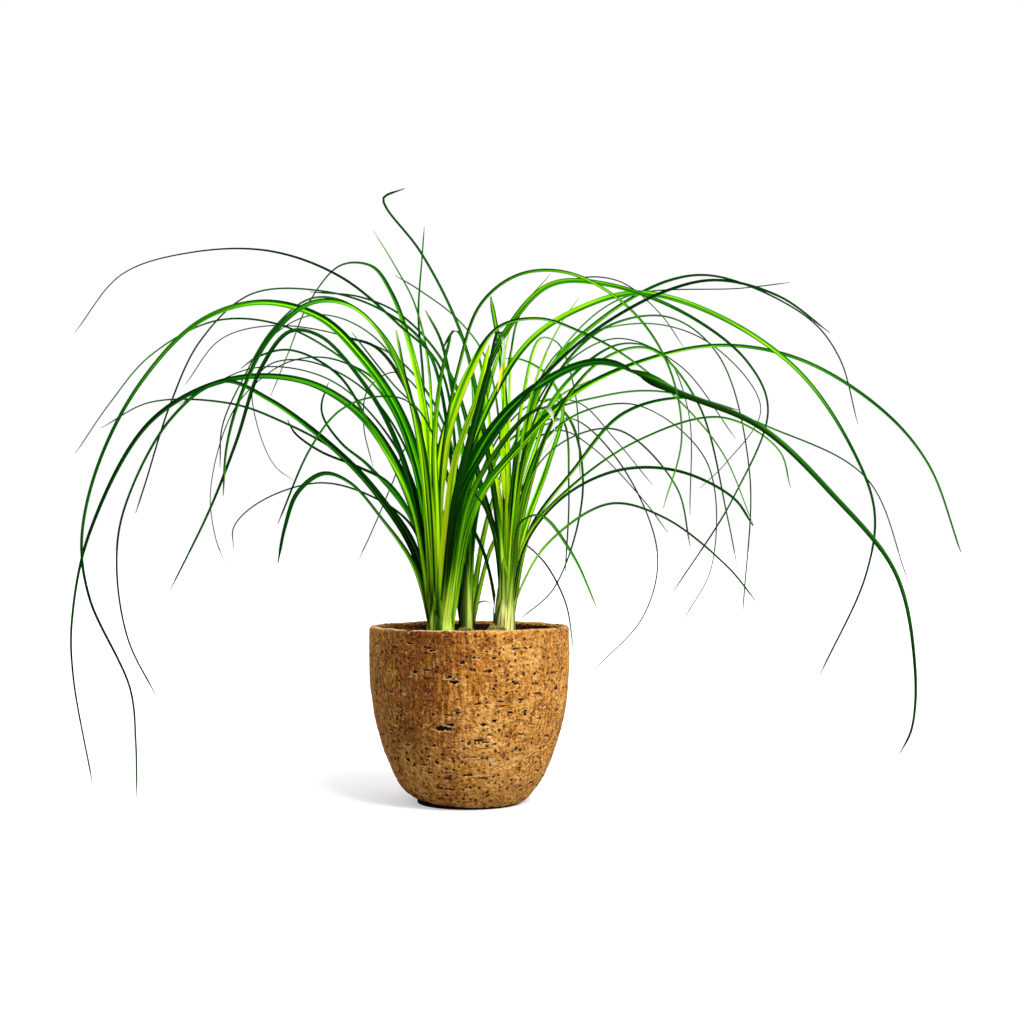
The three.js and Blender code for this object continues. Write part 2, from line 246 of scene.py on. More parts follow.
def fibreGroup():  # fine streaks along a blade, from its own measures in millimetres
    tree, given, wanted = newGroup("fibres", {
        "Side": ("Float", 0), "Run": ("Float", 0), "Seed": ("Float", 0), "Spacing": ("Float", 0.5),
        "Length": ("Float", 60), "Contrast": ("Float", 2)}, ["Value"])
    place = addNode(tree, "ShaderNodeCombineXYZ", {
        "X": calc(tree, "DIVIDE", given["Side"], given["Spacing"]),
        "Y": calc(tree, "DIVIDE", given["Run"], given["Length"]),
        "Z": times(tree, given["Seed"], 37.0)})
    noise = addNode(tree, "ShaderNodeTexNoise", {"Vector": place.outputs[0], "Scale": 1.0, "Detail": 2.0})
    tree.links.new(contrasted(tree, noise.outputs["Fac"], given["Contrast"]), wanted["Value"])
    return tree


mottle, specks, fibres = mottleGroup(), speckGroup(), fibreGroup()


def newMaterial(name, **constants):
    material = bpy.data.materials.new(name)
    material.use_nodes = True
    tree = material.node_tree
    shader = tree.nodes["Principled BSDF"]
    for key, value in constants.items():
        shader.inputs[key.replace("_", " ")].default_value = value
    return material, tree, shader.inputs


def coat(tree, shaderInputs, colour, height, distance):
    tree.links.new(colour, shaderInputs["Base Color"])
    bump = addNode(tree, "ShaderNodeBump", {"Height": height, "Distance": distance})
    tree.links.new(bump.outputs["Normal"], shaderInputs["Normal"])


pot = {
    "outline": [(45, 0), (54, 9), (66, 28), (76, 55), (82.5, 83), (85, 112), (85, 146.75)],
    "wall": 6.5, "floor": 9, "footInset": 0.8, "footHeight": 1.8,
    "footLift": 3.0,  # how much higher the hand-made edge of the foot stands at the left
    "columns": 480, "rowStep": 0.98, "insideStep": 5.0, "seed": 11,
    "waveLength": 22, "waviness": 0.22, "grainLength": 3.2, "roughness": 0.12,
    # gouges on the front: degrees from the middle to the right, height, half width, half height, depth
    "gouges": [
        (-14, 71, 8.5, 2.4, 2.4), (-10, 74, 5.0, 1.6, 2.0), (-7, 109, 5.6, 1.4, 1.8),
        (-10, 112, 3.5, 1.0, 1.3), (-19, 134, 4.4, 1.2, 1.5), (15, 128, 3.0, 1.2, 1.4),
        (13, 118, 3.0, 1.5, 1.5), (7, 61, 5.6, 1.3, 1.6), (11, 59, 4.0, 1.2, 1.4),
        (35, 83, 2.4, 2.6, 1.4), (10, 74, 4.6, 1.1, 1.3), (-1, 47, 4.2, 1.0, 1.2),
        (-48, 99, 3.2, 1.4, 1.4), (-43, 42, 2.6, 2.4, 1.6), (-38, 39, 2.2, 2.2, 1.5),
        (-20, 42, 2.0, 2.0, 1.4), (-9, 113, 3.0, 0.8, 1.1), (6, 91, 4.6, 0.9, 1.2),
        (19, 93, 5.6, 0.7, 1.0), (32, 94, 5.0, 0.7, 0.9), (-24, 20, 7.0, 0.7, 1.0),
        (-12, 19, 6.0, 0.7, 1.0), (-28, 33, 6.5, 0.7, 0.9), (-14, 33, 6.0, 0.7, 1.0),
        (-36, 133, 3.6, 1.1, 1.3), (-33, 139, 4.0, 0.8, 1.1), (-30, 116, 3.8, 1.6, 1.3),
        (25, 120, 2.6, 0.9, 1.2),
    ],
    # gouges, then cracks, all round: how many, then least and most height, half width, half height, depth
    "scattered": [(80, (8, 142), (1.6, 4.2), (0.7, 1.3), (0.7, 1.6)),
                  (52, (10, 140), (4, 13), (0.45, 0.7), (0.4, 0.9))],
    # pits: how many, least and most size, how flat, then least and most angle, height and depth
    "pits": (300, (1.1, 2.0), 0.8, [(0, math.tau), (4, 146), (0.4, 1.1)]),
    # the clay from dark to pale, and painted shade that darkens it from the left edge across the front
    "clay": [(0.28, (0.20, 0.062, 0.008)), (0.42, (0.46, 0.180, 0.026)),
             (0.56, (0.66, 0.31, 0.062)), (0.74, (0.80, 0.47, 0.165))],
    "sideShade": [(0.0, (0.95, 1.0, 1.0)), (0.14, (0.74, 0.66, 0.55)), (0.30, (0.36, 0.26, 0.15)),
              (0.56, (0.42, 0.31, 0.19)), (0.80, (0.84, 0.74, 0.60)), (0.97, (1, 1, 1))],
    "chalk": (0.86, 0.56, 0.26), "innerShade": (0.022, 0.006, 0.002), "lip": (0.74, 0.50, 0.28),
    "pitRimShade": (0.20, 0.055, 0.010), "crumb": (0.86, 0.55, 0.25), "hole": (0.020, 0.005, 0.002),
    "footRingShade": (0.006, 0.005, 0.004), "bump": 0.0012,
}


def outlineAt(shares):  # the same uniform spline as the solid's, as (radius, height) in millimetres
    points = np.array(pot["outline"], float)
    last = len(points) - 1
    place = np.clip(shares, 0, 1) * last
    span = np.minimum(place.astype(int), last - 1)
    t = (place - span)[:, None]
    p0, p1 = points[np.maximum(span - 1, 0)], points[span]
    p2, p3 = points[span + 1], points[np.minimum(span + 2, last)]
    return arc(p1, p2, (p2 - p0) / 2, (p3 - p1) / 2, t)


def evenly(points, step):  # the same line with points a step apart
    lengths = np.r_[0, np.cumsum(np.linalg.norm(np.diff(points, axis=0), axis=1))]
    count = max(2, round(lengths[-1] / step) + 1)
    places = np.linspace(0, lengths[-1], count)
    return np.stack([np.interp(places, lengths, column) for column in points.T], -1)


def potProfile():  # rows from the foot to the inner floor, and their zones: outside 0, lip 0.5, inside 1
    outside = evenly(outlineAt(np.linspace(0, 1, 400)), pot["rowStep"])
    along = unit(np.gradient(outside, axis=0))
    inwards = outside + np.stack([-along[:, 1], along[:, 0]], -1) * pot["wall"]
    inside = evenly(inwards[inwards[:, 1] > pot["floor"] + 2][::-1], pot["insideStep"])
    top, half = outside[-1], pot["wall"] / 2
    angles = np.linspace(0, math.pi, 16)[1:-1]  # the lip is half round
    lip = np.stack([top[0] - half + half * np.cos(angles), top[1] + half * np.sin(angles)], -1)
    ring = outside[0, 0] - pot["footInset"]  # it stands on a narrower ring, under a dark edge; the ring is painted near-black as shade
    outside = outside[outside[:, 1] > pot["footHeight"]]
    foot = np.array([[ring - 5, 0], [ring, 0], [ring + 0.5, pot["footHeight"] * 0.8]])
    rows = np.concatenate([foot, outside, lip, inside, [[inside[-1, 0] - 4, pot["floor"]]]])
    zone = np.r_[np.zeros(len(foot) + len(outside)), np.full(len(lip), 0.5), np.ones(len(inside) + 1)]
    return rows, zone


def carve(cut, dark, rows, angle, height, halfWidth, halfHeight, depth, draw):  # one ragged hollow
    columns = pot["columns"]
    outer = rows[:, 2] == 0
    radius = np.interp(height, rows[outer, 1], rows[outer, 0])
    reach = int(halfWidth * 2.2 / radius / math.tau * columns) + 2
    middle = int(angle / math.tau * columns)
    column = np.arange(middle - reach, middle + reach + 1)
    row = np.where(outer & (np.abs(rows[:, 1] - height) < halfHeight * 2.2))[0]
    if not len(row):
        return
    across = (column * math.tau / columns - angle) * radius / halfWidth
    up = (rows[row, 1] - height) / halfHeight
    bend = draw.uniform(-0.5, 0.5) + draw.uniform(-0.35, 0.35) * across
    ragged = 0.25 * np.sin(across * draw.uniform(2, 5) + draw.uniform(0, 6))
    ragged += draw.uniform(-0.1, 0.1, len(column))
    distance = np.sqrt((across * (1 + 0.15 * ragged)) ** 2 + ((up[:, None] - bend * 0.5) * (1 + ragged)) ** 2)
    depthShare = smooth((1.15 - distance) / 0.7)
    window = np.ix_(row, column % columns)
    cut[window] = np.maximum(cut[window], depthShare * depth)
    # how dark the hollow is painted, deeper ones darker: painted shade
    dark[window] = np.maximum(dark[window], depthShare * min(1, depth / 0.9))


def makePot(material):
    draw = np.random.default_rng(pot["seed"])
    profile, zone = potProfile()
    rows = np.column_stack([profile, zone])
    columns = pot["columns"]
    front = -math.pi / 2
    cut, dark = np.zeros((len(rows), columns)), np.zeros((len(rows), columns))
    for degrees, *sizes in pot["gouges"]:
        carve(cut, dark, rows, front + math.radians(degrees), *sizes, draw)
    for count, *ranges in pot["scattered"]:
        for _ in range(count):
            angle = draw.uniform(0, math.tau)
            carve(cut, dark, rows, angle, *(draw.uniform(*ends) for ends in ranges), draw)
    count, sizes, flatness, ranges = pot["pits"]
    for _ in range(count):
        size = draw.uniform(*sizes)
        angle, height, depth = (draw.uniform(*ends) for ends in ranges)
        carve(cut, dark, rows, angle, height, size, size * flatness, depth, draw)
    angles, height = ringAngles(columns), profile[:, 1]
    flat = turned(profile[:, :1], profile[:, 1:], angles)
    lifted = np.where(zone == 0, smooth(height / 1.2) * (1 - smooth(height / 16)), 0)
    toLeft = smooth((0.2 - np.cos(angles)) / 1.2)
    flat[..., 2] += pot["footLift"] * lifted[:, None] * toLeft
    wave = ripple(flat.reshape(-1, 3), pot["waveLength"], 1) * pot["waviness"]
    wave += ripple(flat.reshape(-1, 3), pot["grainLength"], 2, 30) * pot["roughness"]
    wave = wave.reshape(flat.shape[:2]) * np.where(height > pot["footHeight"], 1, 0)[:, None]
    slope = unit(np.gradient(profile, axis=0))
    outwards = turned(slope[:, 1:], -slope[:, :1], angles)
    points = (flat + outwards * (wave - cut)[..., None]).reshape(-1, 3)
    points[:, 2] = np.maximum(points[:, 2], 0)
    # the foot ring, painted near-black as shade under the pot's edge
    ring = np.where((zone == 0) & (height < pot["footHeight"]), 1.0, 0.0)
    attributes = {"hollow": dark.ravel(), "zone": np.repeat(zone, columns), "ring": np.repeat(ring, columns)}
    return makePiece("clayPot", points * mm, tubeFaces(len(rows), columns), attributes, material, 75)


def clayMaterial():
    material, tree, shader = newMaterial("roughClay", Roughness=0.85, Specular_IOR_Level=0.12)
    cloud = useGroup(tree, mottle, Scale=20.0, Contrast=2.2, Detail=3.0)
    patches = useGroup(tree, mottle, Scale=85.0, Contrast=2.4, Detail=5.0)
    drips = useGroup(tree, mottle, Scale=330.0, Stretch=(1, 1, 0.10), Contrast=2.8, Detail=3.0)
    lumps = useGroup(tree, mottle, Scale=330.0, Contrast=2.8, Detail=3.0)
    grain = useGroup(tree, mottle, Scale=760.0, Contrast=2.8, Detail=4.0)
    tone = weighted(tree, (cloud, 0.20), (patches, 0.20), (drips, 0.12), (lumps, 0.24), (grain, 0.24))
    colour = colourRamp(tree, tone, pot["clay"])
    # painted shade down the left, where less light falls, paler again at the very edge and near the foot
    place = addNode(tree, "ShaderNodeSeparateXYZ", {0: ownPlace(tree)})
    shift = weighted(tree, (centred(tree, cloud), 0.026), (centred(tree, drips), 0.040))
    across = spread(tree, calc(tree, "ADD", place.outputs["X"], shift), -0.085, 0.025, kind="LINEAR")
    sideShade = colourRamp(tree, across, pot["sideShade"])
    colour = blendColours(tree, spread(tree, place.outputs["Z"], 0.025, 0.075, 0.15, 1.0), colour,
                          blendColours(tree, 1.0, colour, sideShade, "MULTIPLY"))
    chalk = useGroup(tree, mottle, Scale=380.0, Contrast=3.6, Detail=4.0, Stretch=(1, 1, 0.35))
    zone = attribute(tree, "zone")
    # painted shade on the pot's inner wall, less on its far left where light falls
    innerShadeShare = spread(tree, place.outputs["X"], -0.075, -0.035, 0.25, 0.97)
    innerShadeShare = times(tree, spread(tree, zone, 0.55, 1.0), innerShadeShare)
    up = addNode(tree, "ShaderNodeSeparateXYZ",
                 {0: addNode(tree, "ShaderNodeNewGeometry").outputs["Normal"]}).outputs["Z"]
    onLip = spread(tree, calc(tree, "ABSOLUTE", centred(tree, zone)), 0.0, 0.3, 1.0, 0.0)
    lip = times(tree, onLip, spread(tree, up, 0.6, 0.95, 0.0, 0.85))
    lip = times(tree, lip, spread(tree, place.outputs["X"], -0.03, 0.03, 1.0, 0.35))
    # darker red round the pits, near-black in the pits, dashes and carved hollows: painted shade
    pitRimShade = useGroup(tree, specks, Scale=300.0, Share=0.40, Size=0.62)
    smallPits = useGroup(tree, specks, Scale=300.0, Share=0.40, Size=0.32)
    finePits = useGroup(tree, specks, Scale=560.0, Share=0.42, Size=0.38)
    where = useGroup(tree, mottle, Scale=60.0, Contrast=3.0, Detail=3.0)
    finePits = times(tree, finePits, spread(tree, where, 0.2, 0.7, 0.4, 1.0))
    finePits = times(tree, finePits, spread(tree, across, 0.3, 0.8, 1.0, 0.7))
    dashes = useGroup(tree, specks, Scale=170.0, Share=0.16, Size=0.30, Stretch=(0.4, 0.4, 2.0))
    pits = calc(tree, "MAXIMUM", smallPits, times(tree, finePits, 0.9))
    pits = calc(tree, "MAXIMUM", pits, times(tree, dashes, 0.9))
    torn = useGroup(tree, mottle, Scale=420.0, Stretch=(0.8, 0.8, 1.6), Contrast=2.6, Detail=4.0)
    carved = attribute(tree, "hollow")
    tearing = times(tree, calc(tree, "SUBTRACT", torn, 0.55), spread(tree, carved, 0.0, 0.3, 0.0, 1.1))
    ragged = calc(tree, "ADD", carved, tearing)
    hollow = spread(tree, ragged, 0.42, 0.62)
    crumbs = times(tree, spread(tree, carved, 0.05, 0.25), spread(tree, ragged, 0.25, 0.45, 1.0, 0.0))
    pitShade = calc(tree, "MAXIMUM", times(tree, pits, 0.95), hollow)
    colour = layered(
        tree, colour, (spread(tree, chalk, 0.85, 1.15, 0.0, 0.6), pot["chalk"]), (innerShadeShare, pot["innerShade"]),
        (lip, pot["lip"]), (times(tree, pitRimShade, 0.55), pot["pitRimShade"]), (times(tree, crumbs, 0.5), pot["crumb"]),
        (pitShade, pot["hole"]), (attribute(tree, "ring"), pot["footRingShade"]))
    height = weighted(tree, (grain, 0.35), (lumps, 0.8), (pitShade, -1.2), (drips, 0.2))
    coat(tree, shader, colour, height, pot["bump"])
    return material


clay = clayMaterial()
dress(makePot(clay), "clay", "pot")


soil = {
    "edge": 78.2, "top": 137, "mound": 2.5, "skirt": 14, "columns": 320, "step": 1.3, "seed": 21,
    "lumps": 1.5, "lumpLength": 9, "crumbLength": 3.4,
    "earth": [(0.2, (0.006, 0.004, 0.003)), (0.6, (0.030, 0.018, 0.010)), (0.95, (0.095, 0.055, 0.030))],
    "paleCrumb": (0.45, 0.40, 0.33), "bump": 0.001,
}


def makeSoil(material):
    radii = np.arange(soil["edge"], soil["step"] / 2, -soil["step"])[:, None]
    height = soil["top"] + soil["mound"] * (1 - (radii / soil["edge"]) ** 2)
    columns = soil["columns"]
    points = turned(radii, height, ringAngles(columns)).reshape(-1, 3)
    coarse = ripple(points, soil["lumpLength"], soil["seed"])
    fine = ripple(points, soil["crumbLength"], soil["seed"] + 1, 30)
    lift = np.clip(0.6 * coarse + 0.7 * np.abs(fine), -1.6, 2.6)
    points[:, 2] += (lift - 0.6) * soil["lumps"]
    skirt = points[:columns].copy()
    skirt[:, 2] = soil["top"] - soil["skirt"]
    points = np.concatenate([skirt, points])
    lifts = {"lift": np.r_[np.zeros(columns), lift]}
    return makePiece("pottingSoil", points * mm, tubeFaces(len(radii) + 1, columns), lifts, material, 60)


def soilMaterial():
    material, tree, shader = newMaterial("pottingSoil", Roughness=0.95, Specular_IOR_Level=0.1)
    crumbs = useGroup(tree, mottle, Scale=420.0, Contrast=2.2, Detail=5.0)
    pale = useGroup(tree, specks, Scale=200.0, Share=0.05, Size=0.3)
    colour = layered(tree, colourRamp(tree, crumbs, soil["earth"]), (pale, soil["paleCrumb"]))
    coat(tree, shader, colour, calc(tree, "ADD", crumbs, pale), soil["bump"])
    return material


dress(makeSoil(soilMaterial()), "earth", "soil")


# Each palm's neck and bulb, and how its stem is coloured: "bands" are places across it, in neck radii from
# its middle, and how lime it is there, up to about "bandHeight" above the bulb; the bands hold the sheaths'
# own lime and dark together with painted light on the right and painted shade on the left.
palms = {
    "left": {
        "neck": (-24, -18), "neckRadius": 9, "bulb": (-24, -18), "bulbRadius": 13, "bulbTop": 144,
        "bulbRise": 12, "scaly": 0.5, "cream": 0.35, "footLength": 130, "bandHeight": 58, "seed": 31,
        "bands": ((-1.2, -0.9, -0.75, -0.55, 0.12, 0.3, 1), (0.2, 0.7, 0.6, 0.0, 0.0, 0.95, 1.0)),
    },
    "middle": {
        "neck": (-3, 20), "neckRadius": 5.5, "bulb": (-3.5, 20), "bulbRadius": 9, "bulbTop": 149,
        "bulbRise": 12, "scaly": 0.8, "cream": 0.6, "footLength": 150, "bandHeight": 62, "seed": 32,
        "bands": ((-1, -0.2, 0.05, 0.2, 0.8, 1.1), (0.0, 0.05, 0.2, 0.95, 1.0, 0.2)),
    },
    "right": {
        "neck": (29.5, -1), "neckRadius": 7.5, "bulb": (26, 1), "bulbRadius": 13.5, "bulbTop": 153,
        "bulbRise": 16, "scaly": 1.0, "cream": 1.0, "footLength": 230, "bandHeight": 100, "seed": 33,
        "bands": ((-1.1, -0.8, -0.6, -0.4, 0.8, 1.1), (0.0, 0.5, 0.1, 0.95, 1.0, 0.4)),
    },
}

# Each leaf is its width near the root and at the tip, how far its tip comes forward (-) or goes back (+),
# its tone from 0, near-black green, to 1, lime, which carries its own green together with painted light and
# shade, and its route as drawn on the plane through the pot's axis, base to tip.
palmLeaves = {"left": [
    # long arches to the left
    (12, 1.5, -40, 0.3, (-38, 257), (-59, 329), (-94, 382), (-128, 414), (-178, 427), (-231, 411),
     (-282, 358), (-318, 288), (-332, 223), (-325, 173), (-290, 96), (-285, 50), (-284, 4)),
    (11, 1.6, 20, 0.2, (-44, 240), (-72, 303), (-102, 338), (-145, 360), (-209, 360), (-274, 324),
     (-325, 230), (-340, 155), (-339, 108), (-322, 15)),
    (7.5, 1.4, -120, 0.16, (-47, 212), (-77, 260), (-111, 297), (-171, 343), (-212, 359), (-256, 327),
     (-296, 249), (-302, 200), (-292, 138), (-268, 90)),
    (4, 1.2, 90, 0.22, (-47, 283), (-74, 346), (-111, 380), (-164, 408), (-218, 411), (-274, 381),
     (-308, 341), (-338, 297)),
    (4.2, 1.3, 60, 0.08, (-47, 219), (-81, 266), (-111, 297), (-162, 325), (-205, 340), (-274, 341),
     (-316, 319)),
    (3, 1.2, 130, 0.12, (-49, 274), (-98, 345), (-137, 367), (-188, 370), (-250, 339)),
    # arches that come down half way out
    (14, 1.8, -180, 0.5, (-42, 300), (-56, 360), (-81, 407), (-107, 426), (-137, 426), (-171, 397),
     (-196, 347), (-208, 303), (-211, 261)),
    (4.5, 1.7, 150, 0.3, (-44, 317), (-68, 390), (-107, 427), (-137, 430), (-169, 404), (-193, 364),
     (-212, 321), (-214, 285)),
    (12, 1.3, -190, 0.16, (-47, 257), (-66, 315), (-91, 358), (-128, 398), (-154, 402), (-179, 370),
     (-200, 307), (-222, 250), (-256, 180)),
    (3.6, 1.2, 230, 0.28, (-42, 309), (-68, 382), (-102, 410), (-135, 416), (-167, 400), (-192, 364)),
    (8.5, 1.7, -150, 0.42, (-51, 257), (-81, 313), (-113, 365), (-154, 386), (-182, 380), (-196, 370)),
    (3, 1.2, 220, 0.2, (-47, 283), (-77, 356), (-107, 375), (-134, 380), (-164, 372), (-201, 337),
     (-222, 268), (-218, 226), (-209, 202)),
    (13, 1.4, 190, 0.52, (-38, 326), (-52, 393), (-67, 435), (-84, 458), (-111, 459), (-137, 429),
     (-156, 383), (-171, 346)),
    (2.8, 1.2, 200, 0.24, (-44, 274), (-85, 347), (-137, 376), (-171, 374), (-186, 356), (-182, 320),
     (-167, 286), (-151, 274)),
    # short and low to the left
    (8.5, 2.6, -130, 0.18, (-46, 198), (-75, 242), (-102, 272), (-125, 280), (-147, 264), (-158, 234),
     (-164, 203)),
    (3.2, 1.2, 70, 0.12, (-38, 206), (-51, 237), (-83, 260), (-128, 272), (-179, 256), (-202, 234),
     (-202, 216)),
    (7.5, 1.8, 60, 0.2, (-42, 223), (-69, 271), (-94, 285), (-128, 299), (-150, 315), (-156, 326)),
    (8, 1.6, 210, 0.28, (-44, 231), (-86, 286), (-109, 305), (-125, 327), (-127, 339), (-121, 358)),
    (3.6, 1.3, -200, 0.05, (-38, 300), (-51, 341), (-80, 346), (-111, 334), (-136, 302), (-164, 237)),
    # upright
    (5, 1.1, 110, 0.5, (-32, 257), (-35, 371), (-47, 425), (-64, 458), (-83, 489)),
    (4.5, 1.3, 160, 0.42, (-36, 257), (-40, 363), (-44, 417), (-41, 464), (-39, 492)),
    (10, 2.2, -80, 0.58, (-29, 257), (-30, 309), (-25, 360), (-15, 403)),
    (10, 3.5, -90, 0.6, (-34, 257), (-42, 317), (-55, 364), (-63, 403)),
    (13.5, 3.5, -130, 0.95, (-14, 283), (-4, 317), (6, 343), (17, 390)),
    (8, 3.5, -240, 0.16, (-12, 257), (3, 317), (15, 363), (25, 403), (29, 394), (28, 372), (24, 350)),
    # to the right, across the front
    (7, 1.3, -190, 0.55, (-25, 283), (-9, 373), (10, 426), (43, 451), (86, 452), (137, 422), (170, 374),
     (182, 311), (166, 250)),
    (8.5, 1.3, -50, 0.4, (-15, 279), (6, 343), (30, 400), (69, 442), (120, 442), (189, 415), (239, 375),
     (256, 335), (226, 259), (174, 178)),
    (9, 1.9, -25, 0.4, (-12, 257), (18, 341), (52, 394), (95, 422), (146, 435), (214, 415), (283, 367),
     (330, 297), (347, 246), (339, 192), (300, 108)),
    (8, 2.1, 10, 0.5, (5, 253), (43, 304), (90, 349), (146, 376), (214, 390), (283, 378), (352, 336),
     (393, 288), (421, 212)),
    (15, 2.1, -130, 0.27, (-8, 257), (18, 315), (60, 356), (112, 376), (180, 349), (249, 320), (311, 262),
     (365, 194), (381, 113), (378, 62), (368, 41)),
    (11, 1.6, -220, 0.18, (-10, 251), (14, 301), (62, 362), (112, 406), (172, 438), (214, 446), (266, 432),
     (309, 401)),
    (16.5, 1.5, -60, 0.95, (-29, 249), (-25, 283), (-19, 317), (0, 367), (24, 405), (60, 413), (99, 400),
     (129, 384), (172, 350), (216, 299), (243, 236)),
    (9.5, 4.5, -200, 0.3, (0, 257), (26, 303), (52, 332), (66, 337), (73, 314), (60, 293)),
], "middle": [
    (4.2, 1.2, 70, 0.08, (-8, 231), (-25, 370), (-60, 407), (-111, 449), (-171, 471), (-239, 470),
     (-299, 451), (-339, 401)),
    (3.4, 1.8, 110, 0.18, (-12, 257), (-36, 386), (-75, 420), (-128, 437), (-188, 434), (-231, 394),
     (-256, 341), (-278, 271), (-286, 246)),
    (3, 1.2, 170, 0.25, (-17, 309), (-60, 377), (-111, 399), (-171, 407), (-214, 395), (-244, 356)),
    (3, 1.3, 170, 0.3, (-12, 274), (-38, 343), (-64, 367), (-87, 353), (-91, 322), (-83, 286)),
    (3, 1.3, 210, 0.2, (-15, 257), (-34, 304), (-53, 304), (-65, 275), (-84, 230), (-96, 204)),
    (4, 1.2, 220, 0.28, (9, 257), (35, 309), (65, 322), (89, 327), (131, 286), (161, 212), (149, 158),
     (107, 112)),
    (3, 1.3, 190, 0.28, (7, 249), (43, 300), (78, 317), (106, 302), (151, 255), (170, 229)),
    (3, 1.3, 220, 0.3, (11, 283), (52, 339), (93, 341), (125, 309), (157, 270)),
    (8.5, 3, 130, 0.6, (2, 240), (7, 300), (16, 352), (26, 386)),
    (8, 2.5, 34, 0.1, (-12, 196), (-22, 236), (-36, 296), (-54, 352), (-80, 388), (-112, 398)),
    (5.5, 2, 50, 0.45, (17, 212), (26, 231), (38, 256), (56, 284)),
    (7, 2.5, 200, 0.4, (-3, 240), (-6, 300), (-15, 352), (-25, 395), (-38, 420)),
    (6.5, 2.5, 240, 0.32, (0, 240), (4, 317), (0, 377), (-12, 403), (-24, 386)),
    (6, 2, 200, 0.38, (13, 231), (26, 274), (45, 317), (67, 343), (86, 339)),
    # a young shoot at the foot
    (2.4, 1.5, 25, 0.45, (5, 158), (5, 166), (9, 170), (14, 171), (20, 168)),
], "right": [
    # up and to the left, behind the left palm
    (6, 2, 70, 0.1, (26, 223), (9, 334), (-8, 402), (-42, 470), (-72, 509), (-74, 517), (-56, 525)),
    (6, 1.9, 140, 0.1, (24, 219), (12, 260), (-15, 362), (-55, 413), (-92, 431), (-137, 436)),
    (3.2, 1.3, 100, 0.2, (29, 274), (15, 376), (-10, 412), (-44, 438), (-64, 450)),
    (3.8, 1.4, 20, 0.08, (13, 210), (-10, 257), (-39, 328), (-66, 357), (-101, 401)),
    (5.5, 2, 60, 0.12, (25, 206), (19, 240), (7, 283), (0, 317)),
    (4.5, 1.7, -40, 0.08, (27, 202), (21, 231), (9, 257), (-6, 274)),
    # upright
    (8.5, 2.5, -60, 0.98, (36, 240), (43, 300), (54, 352), (67, 386)),
    (7.5, 1.2, 62, 0.98, (31, 240), (28, 309), (31, 360), (39, 403)),
    (6.5, 2.2, 120, 0.94, (28, 240), (19, 300), (15, 343), (7, 386)),
    (6, 2.2, 130, 0.9, (42, 249), (56, 300), (74, 343), (103, 360)),
    (8.5, 4, 170, 0.8, (33, 240), (28, 369), (18, 432)),
    (7.5, 2, 110, 0.62, (45, 225), (68, 290), (80, 335), (72, 357), (60, 370), (43, 378), (28, 379)),
    (3, 1.3, 60, 0.9, (32, 274), (35, 405), (69, 451)),
    (3, 1.3, 90, 0.8, (39, 274), (57, 361), (78, 408), (94, 431)),
    # high arches to the right
    (6.5, 1.3, 50, 0.85, (43, 274), (65, 363), (112, 412), (172, 446), (214, 449), (290, 414), (317, 380),
     (333, 322)),
    (3, 1.2, 140, 0.3, (43, 300), (73, 377), (112, 420), (146, 435), (232, 439), (275, 444)),
    (3.4, 1.4, 220, 0.6, (33, 300), (46, 422), (90, 447), (129, 445), (164, 417), (184, 388)),
    (6.2, 1.2, 200, 0.65, (35, 240), (46, 346), (61, 396), (75, 393), (90, 352), (95, 276)),
    (6, 1.4, 200, 0.5, (43, 274), (78, 352), (129, 391), (167, 382), (188, 333), (189, 244)),
    (8.5, 1, -75, 0.48, (45, 244), (74, 330), (116, 379), (155, 387), (196, 340), (221, 242), (229, 201)),
    (3, 1.3, 200, 0.35, (39, 283), (73, 364), (125, 396), (180, 373), (228, 310)),
    (3.4, 1.4, 120, 0.4, (43, 283), (78, 369), (120, 407), (172, 414), (214, 381), (240, 282), (234, 161)),
    (3, 1.2, 240, 0.35, (42, 300), (78, 386), (148, 409), (206, 392), (250, 336), (220, 289), (197, 267)),
    # wide and low to the right
    (6.2, 1.8, -30, 0.45, (52, 231), (89, 283), (131, 331), (183, 345), (232, 334)),
    (3, 1.2, 40, 0.22, (39, 257), (60, 326), (112, 346), (167, 350), (256, 320), (340, 276), (376, 187)),
    (3, 1.3, 230, 0.28, (42, 249), (65, 309), (100, 334), (147, 338), (203, 291), (208, 202), (183, 154)),
    (3.5, 1.6, -50, 0.4, (48, 223), (84, 266), (146, 309), (216, 328), (265, 300), (275, 268)),
    (3.2, 1.4, -190, 0.35, (54, 280), (89, 312), (129, 317), (177, 269), (189, 218)),
    (3.2, 2.6, -140, 0.25, (48, 219), (82, 261), (129, 283), (179, 282), (226, 259), (243, 235)),
    (2.6, 1.9, -40, 0.22, (43, 180), (67, 220), (120, 254), (167, 242), (220, 201), (245, 171)),
    (3.4, 1.5, 240, 0.45, (39, 257), (60, 322), (79, 326), (85, 265), (82, 196)),
    (4.6, 1.2, 270, 0.45, (43, 283), (69, 339), (86, 326), (97, 265), (73, 183), (43, 155)),
    (4.8, 1.5, -140, 0.3, (39, 206), (44, 239), (61, 244), (88, 211), (109, 165)),
    (5.5, 1.2, 130, 0.32, (36, 197), (41, 222), (61, 208), (82, 170), (89, 129)),
]}

# the stem of rolled sheaths: its radius at heights above the bulb's top, as a share of the neck's own
neck = {
    "heights": (-10, 10, 24, 44, 56), "shares": (1, 0.97, 0.74, 0.4, 0),
    "span": (-10, 55), "rows": 70, "columns": 96,
    "sheaths": 3, "sheathStep": 0.5, "climb": 0.008,  # how many edges show, how thick, and their slant
}

